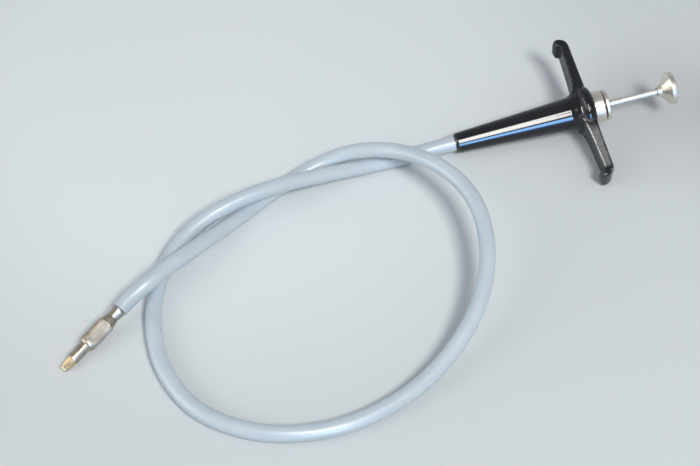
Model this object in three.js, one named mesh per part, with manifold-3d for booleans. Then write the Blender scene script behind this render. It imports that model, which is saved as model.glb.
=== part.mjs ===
// Cable shutter release: a two-winged enamelled handle with a sprung plunger and a lock disc,
// half a metre of sheathed cable in a loose overhand loop, and a swivelling threaded tip with a pin.
// Units are millimetres, +Z is up and the table top is z = 0.
import * as THREE from "three";
import { mergeVertices } from "three/addons/utils/BufferGeometryUtils.js";
import Module from "manifold-3d";

const wasm = await Module();
wasm.setup();

// ---- Driving dimensions ----------------------------------------------------------------------
const clearance = 0.3; // between neighbouring pieces

// Cable: a wire core in a wound steel conduit in a plastic sheath
const wireRadius = 0.5;
const conduitBore = 0.9;
const conduitRadius = 1.35;
const sheathBore = 1.8;
const sheathRadius = 2.75;
const cableSteps = 62;

// The cable's centre line on the table, from the handle's mouth to the tip fitting
const route = [
  [-40.5507, -10.1299, 4.5230], [-45.78, -11.30, 3.83], [-52.52, -12.97, 2.97],
  [-63.06, -16.81, 2.90], [-73.36, -20.52, 3.51], [-83.36, -24.63, 5.22], [-93.26, -29.10, 7.19],
  [-102.16, -33.31, 8.80], [-111.16, -37.71, 9.50], [-120.06, -42.31, 9.00],
  [-128.46, -47.61, 7.50], [-135.56, -54.31, 5.60], [-140.56, -62.61, 4.00],
  [-143.36, -73.11, 3.00], [-143.56, -87.21, 2.80], [-138.86, -104.51, 2.80],
  [-126.86, -120.21, 2.80], [-106.76, -128.41, 2.80], [-82.76, -126.67, 2.90],
  [-61.81, -116.33, 4.00], [-45.96, -101.00, 7.22], [-36.20, -83.08, 12.05],
  [-33.62, -64.27, 16.01], [-37.85, -45.73, 17.80], [-49.31, -30.90, 16.99],
  [-63.70, -21.03, 12.67], [-77.37, -18.31, 9.07], [-88.64, -20.42, 5.51], [-98.06, -25.35, 3.25],
  [-106.56, -32.23, 2.82], [-114.26, -39.93, 2.92], [-121.46, -48.11, 4.00],
  [-127.86, -55.81, 5.90], [-133.56, -62.61, 7.70], [-139.46, -69.21, 8.90],
  [-145.16, -75.31, 8.80], [-150.34, -79.98, 7.39], [-154.47, -84.95, 6.20],
];

// Handle: stations along its axis from the mouth, where the cable enters
const handleLength = 51.5;
const coneMouthRadius = 3.65;
const coneRootRadius = 6.1;
const coneSwell = 1.05; // power of the cone's swelling towards the flange
const flangeRadius = 8.9;
const flangeThickness = 4.3;
const flangeBlend = 3.6; // length over which the cone sweeps up to the flange's shoulder
const shoulderShare = 0.2; // of that length, level at the shoulder
const flangeFrontRound = 1.5;
const flangeBackRound = 2.3;
const mouthChamfer = 0.25;
const webStation = 11.3; // where the socket bore ends
const webThickness = 1.9;
const wirePassage = 1.1;
const springBore = 2.95;

// Wings
const wingSpan = 58.6;
const wingSetIn = 0.7; // of the wings' back faces from the end of the handle
const wingRootY = 5.6;
const wingRootThickness = 4.2;
const wingTipThickness = 3.2;
const wingRootWidth = 10.0;
const wingTipWidth = 9.0;
const wingCornerRound = 1.0;
const wingFilletDepth = 2.4; // thickening where a wing flows into the hub
const wingFilletReach = 2.2;
const curlRadius = 1.95; // of the curled lip, at mid-thickness
const curlAngle = 1.75;

// Cable socket in the handle's mouth
const socketRadius = 2.3;

// End bush: a shank in the handle and the collar that shows behind the flange
const bushShankRadius = 4.2;
const bushShankLength = 6.0;
const bushEndWall = 1.5;
const collarRadius = 6.0;
const collarLength = 3.7;
const collarRound = 0.6;
const collarGrooveDepth = 0.1;
const collarGrooves = 3;
const cavityRadius = 3.3;

// Lock: a sprung disc that squares up a tilted plate on the rod
const lockTravel = 0.3;
const lockStop = 0.1; // left between the collar and the disc when it is pressed
const lockDiscRadius = 5.7;
const lockDiscThickness = 1.4;
const lockDiscRound = 0.35;
const lockNeckRadius = 2.3;
const lockFlangeRadius = 3.0;
const lockFlangeThickness = 1.2;
const lockFlangeDepth = 3.0; // below the collar's end
const lockNoseRadius = 1.75;
const retainerThickness = 0.6;
const retainerRadius = 3.6;
const plateThickness = 0.7;
const plateRadius = 2.9;
const plateHole = 1.4;
const lockSpringRadius = 2.5;
const lockSpringWire = 0.22;
const lockSpringTurns = 3;

// Plunger
const plungerTravel = 14;
const rodRadius = 1.0;
const pistonLength = 4.0;
const pistonRadius = 2.65;
const wireHeadRadius = 1.2;
const wireHeadLength = 4.9;
const wireHeadSeat = 2.2;
const buttonStandOff = 5.1; // left between the button and the disc when the plunger is in
const buttonLength = 6.2;
const buttonRadius = 5.95;
const buttonNeckRadius = 1.9;
const buttonNeckLength = 0.9;
const buttonNeckGroove = 0.3;
const buttonFlare = 1.15; // power of the swelling from the neck to the rim
const buttonRimThickness = 2.0;
const buttonRimRound = 0.6;
const buttonSocketDepth = 2.8;

// Return spring and its seat
const springSeatThickness = 0.8;
const springRadius = 2.2;
const springWire = 0.28;
const springTurns = 13;

// Tip fitting: stations along its axis from the end of the cable
const ferruleLength = 3.0;
const ferruleBackRadius = 2.3;
const ferruleFrontRadius = 1.95;
const conduitSeat = 1.8; // depth of the conduit in the ferrule
const stemRadius = 1.6;
const stemLength = 8.2;
const pinRadius = 0.65;
const pinPassage = 0.95;
const pinSetBack = 0.5;
const pinGuided = 5.0; // of the pin still in its passage when the button is pressed
const swivelGrooveRadius = 1.3;
const swivelRingStation = 9.7;
const swivelRingWidth = 0.8;
const swivelRingBore = 1.45;
const swivelRingRadius = 2.15;
const swivelGrooveOuter = 2.4;
const tipBackRadius = 2.15;
const tipBackCone = 2.4;
const knurlRadius = 2.85;
const knurlDepth = 0.12;
const knurlFlutes = 16;
const knurlEnd = 15.7;
const noseRadius = 1.95;
const noseEnd = 22.0;
const threadLength = 4.2;
const threadLargeRadius = 1.9;
const threadSmallRadius = 1.37;
const threadPitch = 0.5;
const threadDepth = 0.16;

// ---- Materials -------------------------------------------------------------------------------
function material(color, roughness, metalness) {
  return new THREE.MeshStandardMaterial({ color, roughness, metalness });
}
const enamel = () => material(0x101214, 0.15, 0.0);
const nickel = () => material(0xd9d3c4, 0.28, 1.0);
const wornNickel = () => material(0xb5ad9c, 0.38, 1.0);
const steel = () => material(0xc3c6c9, 0.3, 1.0);
const brass = () => material(0xc2a35a, 0.35, 1.0);
const plastic = () => material(0xb4c3d0, 0.4, 0.0);

// ---- Geometry helpers ------------------------------------------------------------------------
// Shared vertices merged and collapsed triangles dropped, so that the surface is closed
function closed(geometry) {
  geometry.deleteAttribute("normal");
  geometry.deleteAttribute("uv");
  const merged = mergeVertices(geometry, 1e-3);
  const index = merged.index.array;
  const kept = [];
  for (let i = 0; i < index.length; i += 3) {
    const [a, b, c] = [index[i], index[i + 1], index[i + 2]];
    if (a !== b && b !== c && c !== a) kept.push(a, b, c);
  }
  merged.setIndex(kept);
  return merged;
}

function toSolid(geometry) {
  const vertProperties = new Float32Array(geometry.attributes.position.array);
  const triVerts = new Uint32Array(geometry.index.array);
  return new wasm.Manifold(new wasm.Mesh({ numProp: 3, vertProperties, triVerts }));
}

function fromSolid(solid) {
  const mesh = solid.getMesh();
  const geometry = new THREE.BufferGeometry();
  geometry.setAttribute("position", new THREE.BufferAttribute(mesh.vertProperties, 3));
  geometry.setIndex(new THREE.BufferAttribute(mesh.triVerts, 1));
  return geometry;
}

// A turned piece about +X from [station, radius] points. A profile that doesn't touch the axis
// closes on itself and leaves a bore.
function turned(profile, segments) {
  const points = profile.map(([station, radius]) => new THREE.Vector2(radius, station));
  const first = points[0];
  const last = points[points.length - 1];
  if (first.x > 0 || last.x > 0) points.push(first.clone());
  if (THREE.ShapeUtils.area(points) < 0) points.reverse();
  const geometry = new THREE.LatheGeometry(points, segments);
  geometry.rotateZ(-Math.PI / 2);
  return closed(geometry);
}

// Points of an arc from angle a0 to a1 about [station, radius] centre
function arc(cx, cr, radius, a0, a1, steps) {
  const points = [];
  for (let i = 0; i <= steps; i++) {
    const a = a0 + ((a1 - a0) * i) / steps;
    points.push([cx + radius * Math.cos(a), cr + radius * Math.sin(a)]);
  }
  return points;
}

// A closed surface through rings of equal length, capped at both ends
function loft(rings) {
  const count = rings[0].length;
  const positions = rings.flat().flatMap((p) => [p.x, p.y, p.z]);
  const index = [];
  for (let r = 0; r + 1 < rings.length; r++) {
    for (let i = 0; i < count; i++) {
      const a = r * count + i;
      const b = r * count + ((i + 1) % count);
      index.push(a, b, b + count, a, b + count, a + count);
    }
  }
  const lastRing = (rings.length - 1) * count;
  for (let i = 1; i + 1 < count; i++) {
    index.push(0, i + 1, i);
    index.push(lastRing, lastRing + i, lastRing + i + 1);
  }
  const geometry = new THREE.BufferGeometry();
  geometry.setAttribute("position", new THREE.Float32BufferAttribute(positions, 3));
  geometry.setIndex(index);
  return geometry;
}

// A tube of rings about +X whose radius may vary round it. rings: [station, (angle) => radius],
// out along the outside and back along the bore, each ring joined to the next and the last to
// the first.
function ringedTube(rings, segments) {
  const positions = [];
  for (const [station, radiusAt] of rings) {
    for (let i = 0; i < segments; i++) {
      const a = (i / segments) * 2 * Math.PI;
      const r = radiusAt(a);
      positions.push(station, r * Math.cos(a), r * Math.sin(a));
    }
  }
  const index = [];
  for (let k = 0; k < rings.length; k++) {
    const next = (k + 1) % rings.length;
    for (let i = 0; i < segments; i++) {
      const j = (i + 1) % segments;
      const [a, b] = [k * segments + i, k * segments + j];
      const [c, d] = [next * segments + j, next * segments + i];
      index.push(a, b, c, a, c, d);
    }
  }
  const geometry = new THREE.BufferGeometry();
  geometry.setAttribute("position", new THREE.Float32BufferAttribute(positions, 3));
  geometry.setIndex(index);
  return geometry;
}

function ngon(Shape, radius, sides) {
  const points = [];
  for (let i = 0; i < sides; i++) {
    const a = (i / sides) * 2 * Math.PI;
    points.push(new THREE.Vector2(radius * Math.cos(a), radius * Math.sin(a)));
  }
  return new Shape(points);
}

// ---- Cable line ------------------------------------------------------------------------------
const cableCurve = new THREE.CatmullRomCurve3(
  route.map((p) => new THREE.Vector3(...p)),
  false,
  "centripetal",
);
cableCurve.arcLengthDivisions = 4000;
const cableLength = cableCurve.getLength();
const mouth = cableCurve.getPointAt(0);
const cableEnd = cableCurve.getPointAt(1);
const intoCable = cableCurve.getTangentAt(0);
const tipAxis = cableCurve.getTangentAt(1);

// A point at a distance along the cable. Below 0 it runs straight on in the handle, and past the
// end straight on in the tip.
function cablePoint(distance) {
  if (distance < 0) return mouth.clone().addScaledVector(intoCable, distance);
  if (distance > cableLength) {
    return cableEnd.clone().addScaledVector(tipAxis, distance - cableLength);
  }
  return cableCurve.getPointAt(distance / cableLength);
}

// The part of the cable line through a list of distances, one step for each
class CableRun extends THREE.Curve {
  constructor(distances) {
    super();
    this.distances = distances;
  }
  distanceAt(u) {
    const place = u * (this.distances.length - 1);
    const k = Math.min(Math.floor(place + 1e-6), this.distances.length - 2);
    return THREE.MathUtils.lerp(this.distances[k], this.distances[k + 1], place - k);
  }
  getPointAt(u, target = new THREE.Vector3()) {
    return target.copy(cablePoint(this.distanceAt(u)));
  }
  getTangentAt(u, target = new THREE.Vector3()) {
    const distance = this.distanceAt(u);
    const ahead = cablePoint(distance + 0.01);
    return target.copy(ahead).sub(cablePoint(distance - 0.01)).normalize();
  }
}

const freeDistances = [];
for (let i = 0; i <= cableSteps; i++) {
  freeDistances.push(THREE.MathUtils.lerp(clearance, cableLength - clearance, i / cableSteps));
}

function cableTube(distances, radius, bore, sides) {
  const section = ngon(THREE.Shape, radius, sides);
  if (bore > 0) section.holes.push(ngon(THREE.Path, bore, sides));
  const extrudePath = new CableRun(distances);
  const steps = distances.length - 1;
  return closed(new THREE.ExtrudeGeometry(section, { steps, extrudePath, bevelEnabled: false }));
}

// ---- Springs ---------------------------------------------------------------------------------
// A helix about +X from one station to another, 8 steps of 5 sides a turn
function helix(start, end, coilRadius, wire, turns) {
  const stepsPerTurn = 8;
  const sides = 5;
  const steps = turns * stepsPerTurn;
  const rise = end - start - 2 * wire;
  const slope = Math.atan2(rise, turns * 2 * Math.PI * coilRadius);
  const rings = [];
  for (let k = 0; k <= steps; k++) {
    const a = (k / stepsPerTurn) * 2 * Math.PI;
    const outward = new THREE.Vector3(0, Math.cos(a), Math.sin(a));
    const along = new THREE.Vector3(0, -Math.sin(a), Math.cos(a)).multiplyScalar(Math.cos(slope));
    along.x = Math.sin(slope);
    const across = new THREE.Vector3().crossVectors(along, outward);
    const centre = outward.clone().multiplyScalar(coilRadius);
    centre.x = start + wire + (rise * k) / steps;
    const ring = [];
    for (let i = 0; i < sides; i++) {
      const b = (i / sides) * 2 * Math.PI;
      const point = centre.clone().addScaledVector(outward, wire * Math.cos(b));
      ring.push(point.addScaledVector(across, wire * Math.sin(b)));
    }
    rings.push(ring);
  }
  console.log(`least gap between turns ${(rise / turns - 2 * wire).toFixed(2)} mm`);
  return loft(rings);
}

// ---- Handle pieces ---------------------------------------------------------------------------
const flangeFront = handleLength - flangeThickness;
const coneLength = flangeFront - flangeBlend;
const wingBack = handleLength - wingSetIn;
const bushShankStart = handleLength - bushShankLength;
const bushBore = bushShankRadius + clearance;
const collarStation = handleLength + clearance;
const collarEnd = collarStation + collarLength;
const lockDiscStation = collarEnd + lockTravel + lockStop;
const lockFlangeStation = collarEnd - lockFlangeDepth;
const buttonStation = lockDiscStation + lockDiscThickness + plungerTravel + buttonStandOff;
const pistonEnd = bushShankStart - clearance;
const pistonStart = pistonEnd - pistonLength;
const rodPassage = rodRadius + clearance;
const springSeatStation = webStation + webThickness + clearance;

function coneRadius(station) {
  const share = station / coneLength;
  return coneMouthRadius + (coneRootRadius - coneMouthRadius) * share ** coneSwell;
}

function handleProfile() {
  const profile = [[0, coneMouthRadius - mouthChamfer]];
  const coneRings = 8;
  for (let i = 0; i <= coneRings; i++) {
    const station = THREE.MathUtils.lerp(mouthChamfer, coneLength, i / coneRings);
    profile.push([station, coneRadius(station)]);
  }
  const rise = flangeRadius - flangeFrontRound - coneRootRadius;
  const run = flangeFront - coneLength;
  for (const u of [0.25, 0.5, 0.75, 1]) {
    const station = coneLength + run * (1 - shoulderShare) * u;
    profile.push([station, coneRootRadius + rise * u * u * (3 - 2 * u)]);
  }
  const rimFront = flangeFront + flangeFrontRound;
  const rimBack = handleLength - flangeBackRound;
  const front = flangeRadius - flangeFrontRound;
  const back = flangeRadius - flangeBackRound;
  profile.push(...arc(rimFront, front, flangeFrontRound, Math.PI, Math.PI / 2, 3));
  profile.push(...arc(rimBack, back, flangeBackRound, Math.PI / 2, 0, 4));
  profile.push([handleLength, bushBore]);
  profile.push([bushShankStart - clearance, bushBore]);
  profile.push([bushShankStart - clearance, springBore]);
  profile.push([webStation + webThickness, springBore]);
  profile.push([webStation + webThickness, wirePassage]);
  profile.push([webStation, wirePassage]);
  profile.push([webStation, socketRadius + clearance]);
  profile.push([0, socketRadius + clearance]);
  return profile;
}

// One ring of a wing: a rounded rectangle across the bar's middle line
function wingRing(x, y, angle, thickness, width, scale) {
  const ring = [];
  const round = Math.min(wingCornerRound, thickness / 2.2) * scale;
  const [halfT, halfW] = [(thickness / 2) * scale - round, (width / 2) * scale - round];
  const corners = [[1, 1], [-1, 1], [-1, -1], [1, -1]];
  corners.forEach(([st, sw], corner) => {
    for (const turn of [0, Math.PI / 6, Math.PI / 3, Math.PI / 2]) {
      const a = corner * (Math.PI / 2) + turn;
      const t = st * halfT + round * Math.cos(a);
      const w = sw * halfW + round * Math.sin(a);
      ring.push(new THREE.Vector3(x + t * Math.cos(angle), y + t * Math.sin(angle), w));
    }
  });
  return ring;
}

// A wing along +Y: a flat bar that ends in a lip curled towards the cable
function wing() {
  const rings = [];
  const curlOuter = curlRadius + wingTipThickness / 2;
  const straightEnd = wingSpan / 2 - curlOuter;
  const barLength = straightEnd - wingRootY;
  const barMiddle = (thickness) => wingBack - thickness / 2;
  for (const share of [0, 0.06, 0.13, 0.22, 0.4, 0.7, 1]) {
    const y = wingRootY + barLength * share;
    const fillet = wingFilletDepth * Math.exp((wingRootY - y) / wingFilletReach);
    const taper = THREE.MathUtils.lerp(wingRootThickness, wingTipThickness, share);
    const width = THREE.MathUtils.lerp(wingRootWidth, wingTipWidth, share);
    rings.push(wingRing(barMiddle(taper + fillet), y, 0, taper + fillet, width, 1));
  }
  const middle = barMiddle(wingTipThickness);
  const curlSteps = 6;
  for (let i = 1; i <= curlSteps; i++) {
    const a = (curlAngle * i) / curlSteps;
    const x = middle - curlRadius * (1 - Math.cos(a));
    const y = straightEnd + curlRadius * Math.sin(a);
    rings.push(wingRing(x, y, a, wingTipThickness, wingTipWidth, 1));
  }
  const endX = middle - curlRadius * (1 - Math.cos(curlAngle));
  const endY = straightEnd + curlRadius * Math.sin(curlAngle);
  for (const bend of [0.5, 0.95, 1.3]) {
    const reach = (wingTipThickness / 2) * Math.sin(bend);
    const x = endX - reach * Math.sin(curlAngle);
    const y = endY + reach * Math.cos(curlAngle);
    rings.push(wingRing(x, y, curlAngle, wingTipThickness, wingTipWidth, Math.cos(bend)));
  }
  return closed(loft(rings.map((ring) => ring.reverse())));
}

function handleBody() {
  const far = toSolid(wing());
  const near = far.rotate([180, 0, 0]);
  return fromSolid(toSolid(turned(handleProfile(), 36)).add(far).add(near));
}

function cableSocket() {
  const end = webStation - clearance;
  const bore = conduitRadius + clearance;
  return turned([[clearance, socketRadius], [end, socketRadius], [end, bore], [clearance, bore]], 20);
}

function endBush() {
  const shankEnd = bushShankStart;
  const profile = [[shankEnd, rodPassage], [shankEnd, bushShankRadius]];
  profile.push([collarStation, bushShankRadius], [collarStation, collarRadius]);
  const grooveSpan = collarLength - collarRound;
  for (let i = 0; i < collarGrooves; i++) {
    const middle = collarStation + (grooveSpan * (i + 0.8)) / (collarGrooves + 0.4);
    profile.push([middle - collarGrooveDepth, collarRadius]);
    profile.push([middle, collarRadius - collarGrooveDepth]);
    profile.push([middle + collarGrooveDepth, collarRadius]);
  }
  const roundStation = collarEnd - collarRound;
  profile.push(...arc(roundStation, collarRadius - collarRound, collarRound, Math.PI / 2, 0, 3));
  const grooveStart = lockFlangeStation + lockFlangeThickness;
  const grooveEnd = grooveStart + retainerThickness + 2 * clearance;
  profile.push([collarEnd, cavityRadius], [grooveEnd, cavityRadius]);
  profile.push([grooveEnd, retainerRadius + clearance], [grooveStart, retainerRadius + clearance]);
  profile.push([grooveStart, cavityRadius], [shankEnd + bushEndWall, cavityRadius]);
  profile.push([shankEnd + bushEndWall, rodPassage]);
  return turned(profile, 32);
}

// ---- Lock pieces -----------------------------------------------------------------------------
const plateTop = bushShankStart + bushEndWall + clearance; // station of the plate's fixed edge
const plateTilt = lockTravel / (plateRadius + lockNoseRadius); // squared up by the disc
const plateLean = (radius) => (plateRadius + radius) * Math.tan(plateTilt);
const noseStation = plateTop + plateThickness + plateLean(lockNoseRadius) + clearance;

function lockDisc() {
  const end = lockDiscStation + lockDiscThickness;
  const flangeEnd = lockFlangeStation + lockFlangeThickness;
  const rim = lockDiscRadius - lockDiscRound;
  const profile = [[noseStation, rodPassage], [noseStation, lockNoseRadius]];
  profile.push([lockFlangeStation, lockNoseRadius], [lockFlangeStation, lockFlangeRadius]);
  profile.push([flangeEnd, lockFlangeRadius], [flangeEnd, lockNeckRadius]);
  profile.push([lockDiscStation, lockNeckRadius], [lockDiscStation, rim]);
  profile.push(...arc(lockDiscStation + lockDiscRound, rim, lockDiscRound, Math.PI, Math.PI / 2, 2));
  profile.push(...arc(end - lockDiscRound, rim, lockDiscRound, Math.PI / 2, 0, 2));
  profile.push([end, rodPassage]);
  return turned(profile, 32);
}

function lockRetainer() {
  const start = lockFlangeStation + lockFlangeThickness + clearance;
  const end = start + retainerThickness;
  const bore = lockNeckRadius + clearance;
  return turned([[start, retainerRadius], [end, retainerRadius], [end, bore], [start, bore]], 24);
}

// The plate hangs from its upper edge, which is its group's origin
function jamPlate() {
  const plate = turned(
    [[0, plateRadius], [plateThickness, plateRadius], [plateThickness, plateHole], [0, plateHole]],
    24,
  );
  plate.translate(0, 0, -plateRadius);
  return plate;
}

function lockSpring() {
  const start = plateTop + plateThickness + plateLean(plateRadius) + clearance;
  const end = lockFlangeStation - clearance;
  return helix(start, end, lockSpringRadius, lockSpringWire, lockSpringTurns);
}

// ---- Plunger pieces --------------------------------------------------------------------------
const wireHeadEnd = pistonStart + wireHeadSeat - clearance;
const rodStart = pistonStart + wireHeadSeat + clearance;
const rodEnd = buttonStation + buttonSocketDepth - clearance;
const buttonEnd = buttonStation + buttonLength;

function plungerRod() {
  return turned([[rodStart, 0], [rodStart, rodRadius], [rodEnd, rodRadius], [rodEnd, 0]], 16);
}

function piston() {
  const step = pistonStart + wireHeadSeat;
  const seat = wireHeadRadius + clearance;
  const profile = [[pistonStart, seat], [pistonStart, pistonRadius], [pistonEnd, pistonRadius]];
  profile.push([pistonEnd, rodPassage], [step, rodPassage], [step, seat]);
  return turned(profile, 24);
}

function wireHead() {
  const start = wireHeadEnd - wireHeadLength;
  const bore = wireRadius + clearance;
  const profile = [[start, bore], [start, wireHeadRadius]];
  profile.push([wireHeadEnd, wireHeadRadius], [wireHeadEnd, bore]);
  return turned(profile, 16);
}

function plungerButton() {
  const socketEnd = buttonStation + buttonSocketDepth;
  const grooveRadius = buttonNeckRadius - buttonNeckGroove;
  const third = buttonNeckLength / 3;
  const flareStart = buttonStation + buttonNeckLength;
  const rimStart = buttonEnd - buttonRimThickness;
  const profile = [[socketEnd, 0], [socketEnd, rodPassage], [buttonStation, rodPassage]];
  profile.push([buttonStation, buttonNeckRadius], [buttonStation + third, buttonNeckRadius]);
  profile.push([buttonStation + third, grooveRadius], [buttonStation + 2 * third, grooveRadius]);
  const flareSteps = 7;
  for (let i = 0; i <= flareSteps; i++) {
    const share = i / flareSteps;
    const radius = THREE.MathUtils.lerp(buttonNeckRadius, buttonRadius, share ** buttonFlare);
    profile.push([THREE.MathUtils.lerp(flareStart, rimStart, share), radius]);
  }
  const rimRadius = buttonRadius - buttonRimRound;
  profile.push(...arc(buttonEnd - buttonRimRound, rimRadius, buttonRimRound, Math.PI / 2, 0, 3));
  profile.push([buttonEnd, 0]);
  return turned(profile, 32);
}

function returnSpring() {
  const start = springSeatStation + springSeatThickness + clearance;
  return helix(start, pistonStart - clearance, springRadius, springWire, springTurns);
}

function springSeat() {
  const end = springSeatStation + springSeatThickness;
  const profile = [[springSeatStation, wirePassage], [springSeatStation, pistonRadius]];
  profile.push([end, pistonRadius], [end, wirePassage]);
  return turned(profile, 24);
}

// ---- Tip pieces ------------------------------------------------------------------------------
const ferruleEnd = clearance + ferruleLength;
const stemEnd = ferruleEnd + stemLength;
const tipStart = ferruleEnd + clearance;
const tipEnd = noseEnd + threadLength;
const pinEnd = tipEnd - pinSetBack;
const pinStart = pinEnd - plungerTravel - pinGuided;

function tipFerrule() {
  const bore = conduitRadius + clearance;
  const grooveStart = swivelRingStation - clearance;
  const grooveEnd = swivelRingStation + swivelRingWidth + clearance;
  const profile = [[clearance, bore], [clearance, ferruleBackRadius]];
  profile.push([ferruleEnd, ferruleFrontRadius], [ferruleEnd, stemRadius]);
  profile.push([grooveStart, stemRadius], [grooveStart, swivelGrooveRadius]);
  profile.push([grooveEnd, swivelGrooveRadius], [grooveEnd, stemRadius]);
  profile.push([stemEnd, stemRadius], [stemEnd, pinPassage]);
  profile.push([conduitSeat + clearance, pinPassage], [conduitSeat + clearance, bore]);
  return turned(profile, 24);
}

function swivelRing() {
  const end = swivelRingStation + swivelRingWidth;
  const profile = [[swivelRingStation, swivelRingBore], [swivelRingStation, swivelRingRadius]];
  profile.push([end, swivelRingRadius], [end, swivelRingBore]);
  return turned(profile, 20);
}

// The knurled swivel with its conical thread, a helical ridge about a tapering core
function tipBody() {
  const plain = (radius) => () => radius;
  const fluted = (a) => knurlRadius - (Math.cos(a * knurlFlutes) < 0 ? knurlDepth : 0);
  const coneEnd = tipStart + tipBackCone;
  const rings = [[tipStart, plain(tipBackRadius)], [coneEnd, plain(knurlRadius - knurlDepth)]];
  rings.push([coneEnd + knurlDepth, fluted], [knurlEnd - 2 * knurlDepth, fluted]);
  rings.push([knurlEnd, plain(knurlRadius - 2 * knurlDepth)], [knurlEnd, plain(noseRadius)]);
  rings.push([noseEnd, plain(noseRadius)]);
  const turns = threadLength / threadPitch;
  const perTurn = 3;
  const steps = Math.round(turns * perTurn);
  for (let i = 0; i <= steps; i++) {
    const share = i / steps;
    const core = THREE.MathUtils.lerp(threadLargeRadius, threadSmallRadius, share);
    const ridge = (a) => {
      const phase = (share * turns - a / (2 * Math.PI)) % 1;
      const height = Math.abs(((phase + 1) % 1) - 0.5) * 2;
      return i === steps ? core - threadDepth : core - threadDepth * height;
    };
    rings.push([noseEnd + threadLength * share, ridge]);
  }
  rings.push([tipEnd, plain(pinPassage)], [stemEnd + clearance, plain(pinPassage)]);
  const bore = stemRadius + clearance;
  const grooveStart = swivelRingStation - clearance;
  const grooveEnd = swivelRingStation + swivelRingWidth + clearance;
  rings.push([stemEnd + clearance, plain(bore)], [grooveEnd, plain(bore)]);
  rings.push([grooveEnd, plain(swivelGrooveOuter)], [grooveStart, plain(swivelGrooveOuter)]);
  rings.push([grooveStart, plain(bore)], [tipStart, plain(bore)]);
  return ringedTube(rings, 2 * knurlFlutes);
}

function tipPin() {
  const round = pinRadius / 2;
  const profile = [[pinStart, 0], [pinStart, pinRadius], [pinEnd - round, pinRadius]];
  profile.push([pinEnd, pinRadius - round], [pinEnd, 0]);
  return turned(profile, 12);
}

// ---- Cable pieces ----------------------------------------------------------------------------
function cableSheath() {
  return cableTube(freeDistances, sheathRadius, sheathBore, 10);
}

function cableConduit() {
  const inHandle = [-(webStation - clearance), -webStation / 2];
  const inTip = cableLength + conduitSeat;
  return cableTube([...inHandle, ...freeDistances, inTip], conduitRadius, conduitBore, 6);
}

function coreWire() {
  const inHandle = [-(wireHeadEnd - clearance), -webStation];
  const inTip = cableLength + pinStart - clearance;
  return cableTube([...inHandle, ...freeDistances, inTip], wireRadius, 0, 6);
}

// ---- Assembly --------------------------------------------------------------------------------
function piece(name, geometry, finish) {
  const mesh = new THREE.Mesh(geometry, finish);
  mesh.name = name;
  return mesh;
}

// The handle lies on the tip of its near wing, and the cable holds up its mouth
const restingTilt = -Math.asin(intoCable.z);
const restingYaw = Math.atan2(-intoCable.y, -intoCable.x);

function restingRoll() {
  const station = wingBack - wingTipThickness / 2 - curlRadius;
  const height = mouth.z / Math.cos(restingTilt) + station * Math.tan(restingTilt);
  const out = wingSpan / 2 - wingCornerRound;
  const down = wingTipWidth / 2 - wingCornerRound;
  return Math.asin((height - wingCornerRound) / Math.hypot(out, down)) - Math.atan2(down, out);
}

function handleGroup() {
  const group = new THREE.Group();
  group.position.copy(mouth);
  group.rotation.set(restingRoll(), -restingTilt, restingYaw, "ZYX");
  const lockPlate = new THREE.Group();
  lockPlate.position.set(plateTop, 0, plateRadius);
  lockPlate.rotation.y = -plateTilt;
  lockPlate.add(piece("lock_plate", jamPlate(), steel()));
  group.add(
    piece("handle_body", handleBody(), enamel()),
    piece("cable_socket", cableSocket(), brass()),
    piece("end_bush", endBush(), nickel()),
    piece("lock_disc", lockDisc(), nickel()),
    piece("lock_retainer", lockRetainer(), steel()),
    piece("lock_spring", lockSpring(), steel()),
    piece("plunger_rod", plungerRod(), steel()),
    piece("plunger_button", plungerButton(), nickel()),
    piece("piston", piston(), brass()),
    piece("wire_head", wireHead(), brass()),
    piece("return_spring", returnSpring(), steel()),
    piece("spring_seat", springSeat(), brass()),
    lockPlate,
  );
  return group;
}

function tipGroup() {
  const group = new THREE.Group();
  group.position.copy(cableEnd);
  const yaw = Math.atan2(tipAxis.y, tipAxis.x);
  group.rotation.set(0, -Math.asin(tipAxis.z), yaw, "ZYX");
  group.add(
    piece("tip_ferrule", tipFerrule(), wornNickel()),
    piece("swivel_ring", swivelRing(), steel()),
    piece("tip_body", tipBody(), wornNickel()),
    piece("tip_pin", tipPin(), steel()),
  );
  return group;
}

const release = new THREE.Group();
release.add(
  handleGroup(),
  tipGroup(),
  piece("cable_sheath", cableSheath(), plastic()),
  piece("cable_conduit", cableConduit(), steel()),
  piece("core_wire", coreWire(), steel()),
);

export default release;
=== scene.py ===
import math

import bmesh
import bpy
import numpy as np
from mathutils import Matrix, Vector


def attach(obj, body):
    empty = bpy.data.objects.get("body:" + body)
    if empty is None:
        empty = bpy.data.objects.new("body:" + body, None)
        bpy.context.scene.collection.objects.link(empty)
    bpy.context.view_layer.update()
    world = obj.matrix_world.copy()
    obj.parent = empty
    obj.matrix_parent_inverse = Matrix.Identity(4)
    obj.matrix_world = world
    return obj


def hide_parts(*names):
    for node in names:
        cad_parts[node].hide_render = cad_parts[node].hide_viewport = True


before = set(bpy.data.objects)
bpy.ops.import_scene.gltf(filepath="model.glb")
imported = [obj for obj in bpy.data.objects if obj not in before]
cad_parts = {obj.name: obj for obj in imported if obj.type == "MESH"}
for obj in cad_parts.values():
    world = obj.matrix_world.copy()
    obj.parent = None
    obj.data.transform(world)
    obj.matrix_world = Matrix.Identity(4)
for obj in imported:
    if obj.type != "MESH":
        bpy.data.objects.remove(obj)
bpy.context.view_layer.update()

MM = 0.001

# ---- Camera ----------------------------------------------------------------------------------
CAMERA_AT = (-78.94, -325.13, 354.60)
CAMERA_TO = (-78.94, -48.08, 0.0)
SENSOR_WIDTH = 36.0
LENS = 66.35
CLIP_START, CLIP_END = 0.01, 20.0


def add_object(name, data):
    item = bpy.data.objects.new(name, data)
    bpy.context.collection.objects.link(item)
    return item


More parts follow.
